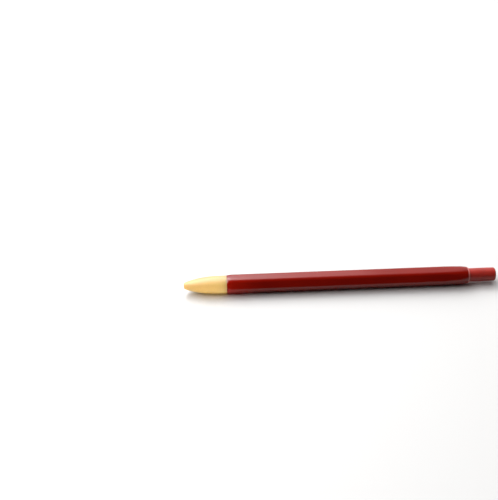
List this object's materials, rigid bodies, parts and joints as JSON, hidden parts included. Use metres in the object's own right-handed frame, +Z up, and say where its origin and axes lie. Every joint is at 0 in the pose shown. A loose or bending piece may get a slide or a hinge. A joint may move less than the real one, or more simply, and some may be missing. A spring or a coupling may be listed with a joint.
{
  "type": "mechanical coloured pencil",
  "caption": "Push-button mechanical coloured pencil with a hexagonal barrel, an ogive nose cone and a sprung clutch that feeds a thick lead.",
  "frame": {"origin": "under the middle of the pencil, on the surface that it lies on", "axes": "+X along the pencil from the nose to the push button, +Z up from the flat that it lies on"},
  "size_m": [0.1456, 0.0094, 0.0084],
  "materials": {
    "barrel_plastic": "high gloss moulded, red-brown",
    "button_plastic": "satin moulded, red-brown",
    "nose_plastic": "matt moulded, cream",
    "lead": "waxy, red-brown",
    "natural_plastic": "milky moulded",
    "brass": "turned",
    "spring_steel": "drawn wire",
    "rubber": "matt"
  },
  "bodies": {
    "housing": {"barrel": "barrel_plastic", "guide_sleeve": "natural_plastic", "return_spring": "spring_steel"},
    "retainer": {"lead_retainer": "rubber"},
    "nose": {"nose_cone": "nose_plastic"},
    "clutch": {"clutch_ring": "brass"},
    "plunger": {"collet": "brass", "collet_socket": "natural_plastic", "lead_tube": "natural_plastic"},
    "button": {"push_button": "button_plastic"},
    "lead": {"working_lead": "lead"},
    "spare": {"spare_lead": "lead"}
  },
  "joints": [
    {"name": "button_push", "type": "slide", "parent": "housing", "child": "plunger", "axis": [-1, 0, 0], "range_m": [0, 0.0024], "stiffness_N_per_m": 600, "springref_m": -0.004, "deforming": ["return_spring"]},
    {"name": "clutch_travel", "type": "slide", "parent": "housing", "child": "clutch", "axis": [-1, 0, 0], "range_m": [0, 0.0012]},
    {"name": "lead_feed", "type": "slide", "parent": "housing", "child": "lead", "axis": [-1, 0, 0], "range_m": [0, 0.048]},
    {"name": "spare_slide", "type": "slide", "parent": "plunger", "child": "spare", "axis": [1, 0, 0], "range_m": [0, 0.0193]},
    {"name": "button_pull", "type": "slide", "parent": "plunger", "child": "button", "axis": [1, 0, 0], "range_m": [0, 0.0165]},
    {"name": "nose_travel", "type": "slide", "parent": "housing", "child": "retainer", "axis": [-1, 0, 0], "range_m": [0, 0.005]},
    {"name": "nose_turn", "type": "hinge", "parent": "retainer", "child": "nose", "pos_m": [-0.055, 0, 0.0042], "axis": [-1, 0, 0], "range_deg": [0, 1800]}
  ],
  "couplings": [
    {"joint": "clutch_travel", "follows": "button_push", "ratio": 0.5},
    {"joint": "nose_turn", "follows": "nose_travel", "rad_per_m": 6283.2}
  ]
}
